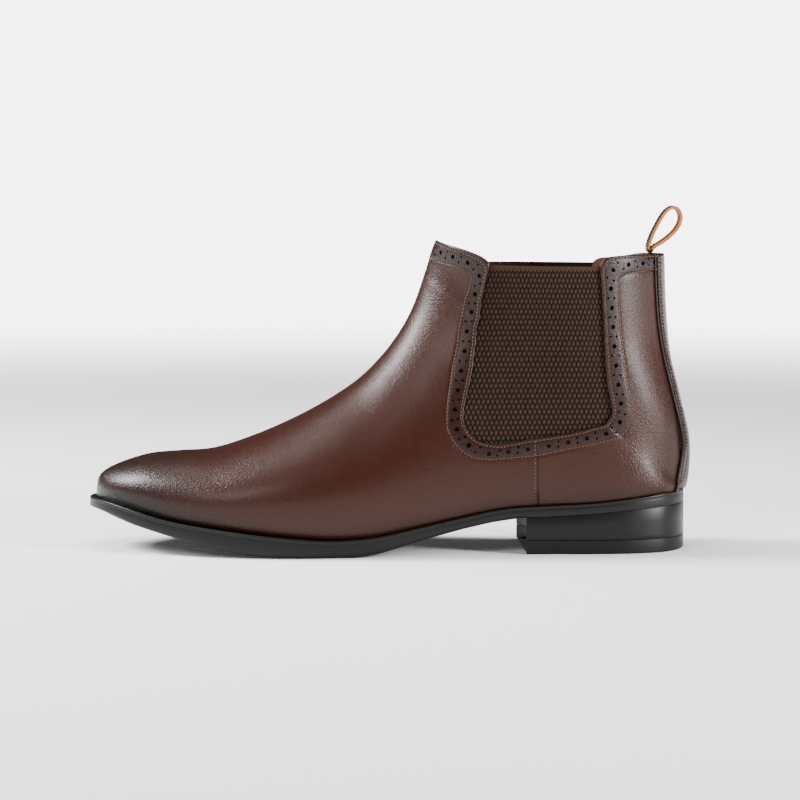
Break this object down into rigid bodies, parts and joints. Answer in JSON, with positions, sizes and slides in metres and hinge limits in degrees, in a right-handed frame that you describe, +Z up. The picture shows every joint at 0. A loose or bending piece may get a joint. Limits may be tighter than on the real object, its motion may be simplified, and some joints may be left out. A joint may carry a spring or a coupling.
{
  "type": "chelsea boot",
  "caption": "Left ankle boot with elastic side panels, a smooth lasted upper on a low stacked heel, and a folding pull loop at the back.",
  "frame": {"origin": "on the ground, under the middle of the boot's overall box", "axes": "+Z up from the ground, -X towards the toe, -Y towards the outer side of the foot"},
  "size_m": [0.306, 0.1027, 0.1732],
  "materials": {
    "upper_leather": "burnished calf leather, smooth with a soft shine",
    "strip_leather": "burnished calf leather",
    "piping": "dark rolled leather piping",
    "gore_elastic": "ribbed knitted elastic",
    "lining_leather": "tan lining leather",
    "puff_sheet": "thermoplastic stiffener sheet",
    "interlining_cloth": "woven cotton backer",
    "board": "cellulose fibre board",
    "steel": "bare spring steel",
    "brass": "plain",
    "cork": "ground cork paste",
    "foam": "latex foam",
    "sock_leather": "tan sock leather",
    "sole_rubber": "black rubber, satin edge",
    "heel_block": "black moulded heel, satin",
    "lift_rubber": "black rubber",
    "loop_leather": "strap leather with raw orange-tan edges"
  },
  "bodies": {
    "boot": {"vamp": "upper_leather", "quarter_lateral": "upper_leather", "quarter_medial": "upper_leather", "gore_lateral": "gore_elastic", "gore_medial": "gore_elastic", "back_strip": "strip_leather", "piping_lateral": "piping", "piping_medial": "piping", "lining_vamp": "lining_leather", "lining_quarter_lateral": "lining_leather", "lining_quarter_medial": "lining_leather", "toe_puff": "puff_sheet", "vamp_interlining": "interlining_cloth", "heel_counter": "puff_sheet", "insole_board": "board", "shank": "steel", "shank_rivets": "brass", "cork_filler": "cork", "heel_pad": "foam", "sock_liner": "sock_leather", "outsole": "sole_rubber", "heel_block": "heel_block", "top_lift": "lift_rubber", "heel_nails": "brass", "lift_pins": "steel", "pull_loop_tail": "loop_leather"},
    "loop": {"pull_loop": "loop_leather"}
  },
  "joints": [
    {"name": "loop_fold", "type": "hinge", "parent": "boot", "child": "loop", "pos_m": [0.1319, 0, 0.1512], "axis": [0, 1, 0], "range_deg": [-85, 28]}
  ]
}
